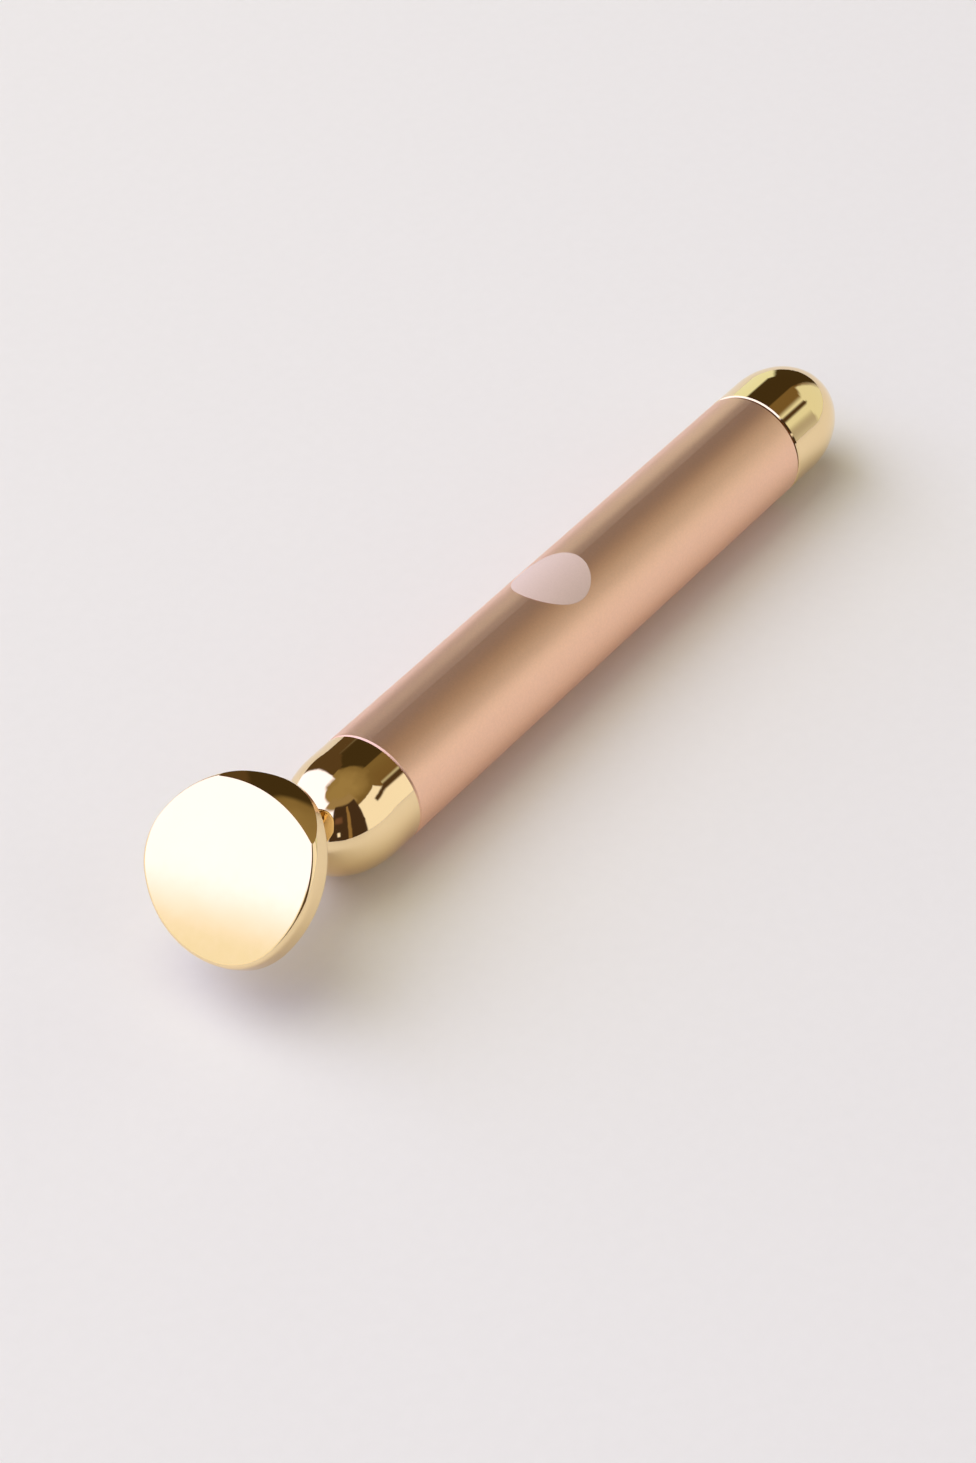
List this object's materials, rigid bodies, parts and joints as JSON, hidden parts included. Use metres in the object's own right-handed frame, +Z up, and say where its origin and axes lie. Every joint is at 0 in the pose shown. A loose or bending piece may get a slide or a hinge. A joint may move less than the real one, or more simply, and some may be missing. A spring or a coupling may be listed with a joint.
{
  "type": "facial massage wand",
  "caption": "Battery facial massage wand with a satin rose-gold tube, polished gold caps and a tilted polished plate head on a short neck.",
  "frame": {"origin": "centre of the wand's footprint, on the surface that the tube lies on", "axes": "+X forward along the handle to the head, +Y to the left seen from behind, +Z up"},
  "size_m": [0.15, 0.0254, 0.0254],
  "materials": {
    "polished_gold": "mirror",
    "plated_gold": "gold-plated ABS, mirror",
    "satin_rose_gold": "satin",
    "pale_print": "printed ink",
    "bare_aluminium": "turned",
    "bright_steel": "bright",
    "black_rubber": "matt",
    "clear_liner": "clear film",
    "motor_steel": "plated",
    "magnet": "sintered",
    "white_plastic": "moulded",
    "black_plastic": "moulded",
    "contact_brass": "stamped",
    "copper_wire": "enamelled",
    "weight_metal": "sintered",
    "nickel_plate": "nickel plated",
    "spring_wire": "drawn",
    "red_insulation": "extruded",
    "black_insulation": "extruded",
    "cell_jacket": "shrink film"
  },
  "bodies": {
    "handle": {"head_plate": "plated_gold", "neck_post": "plated_gold", "front_cap": "polished_gold", "handle_tube": "satin_rose_gold", "printed_spot": "pale_print", "neck_washer": "bright_steel", "neck_nut": "bright_steel", "front_thread_ring": "bare_aluminium", "front_seal": "black_rubber", "battery_liner": "clear_liner", "motor_can": "motor_steel", "motor_magnets": "magnet", "motor_end_bell": "white_plastic", "motor_terminals": "contact_brass", "motor_brushes": "contact_brass", "front_bushing": "contact_brass", "rear_bushing": "contact_brass", "motor_holder": "black_plastic", "positive_contact": "nickel_plate", "ground_clip": "nickel_plate", "red_lead": "red_insulation", "black_lead": "black_insulation", "cell_can": "cell_jacket", "cell_nub": "nickel_plate", "cell_seal_ring": "white_plastic"},
    "rotor": {"motor_shaft": "bright_steel", "armature_core": "motor_steel", "armature_windings": "copper_wire", "commutator": "copper_wire", "eccentric_weight": "weight_metal"},
    "spring_seat_body": {"tail_spring": "spring_wire", "spring_seat": "nickel_plate"},
    "tail_cap_body": {"tail_cap": "polished_gold", "tail_thread_ring": "bare_aluminium", "tail_seal": "black_rubber", "cap_plug": "black_plastic"}
  },
  "joints": [
    {"name": "motor_spin", "type": "hinge", "parent": "handle", "child": "rotor", "pos_m": [0.0221, 0, 0.0085], "axis": [1, 0, 0], "continuous": true},
    {"name": "cap_advance", "type": "slide", "parent": "handle", "child": "spring_seat_body", "axis": [1, 0, 0], "range_m": [-0.005, 0.00025], "deforming": ["tail_spring"]},
    {"name": "cap_twist", "type": "hinge", "parent": "spring_seat_body", "child": "tail_cap_body", "pos_m": [-0.0577, 0, 0.0085], "axis": [1, 0, 0], "range_deg": [-1800, 90]}
  ],
  "couplings": [
    {"joint": "cap_advance", "follows": "cap_twist", "m_per_rad": 0.00015915}
  ]
}
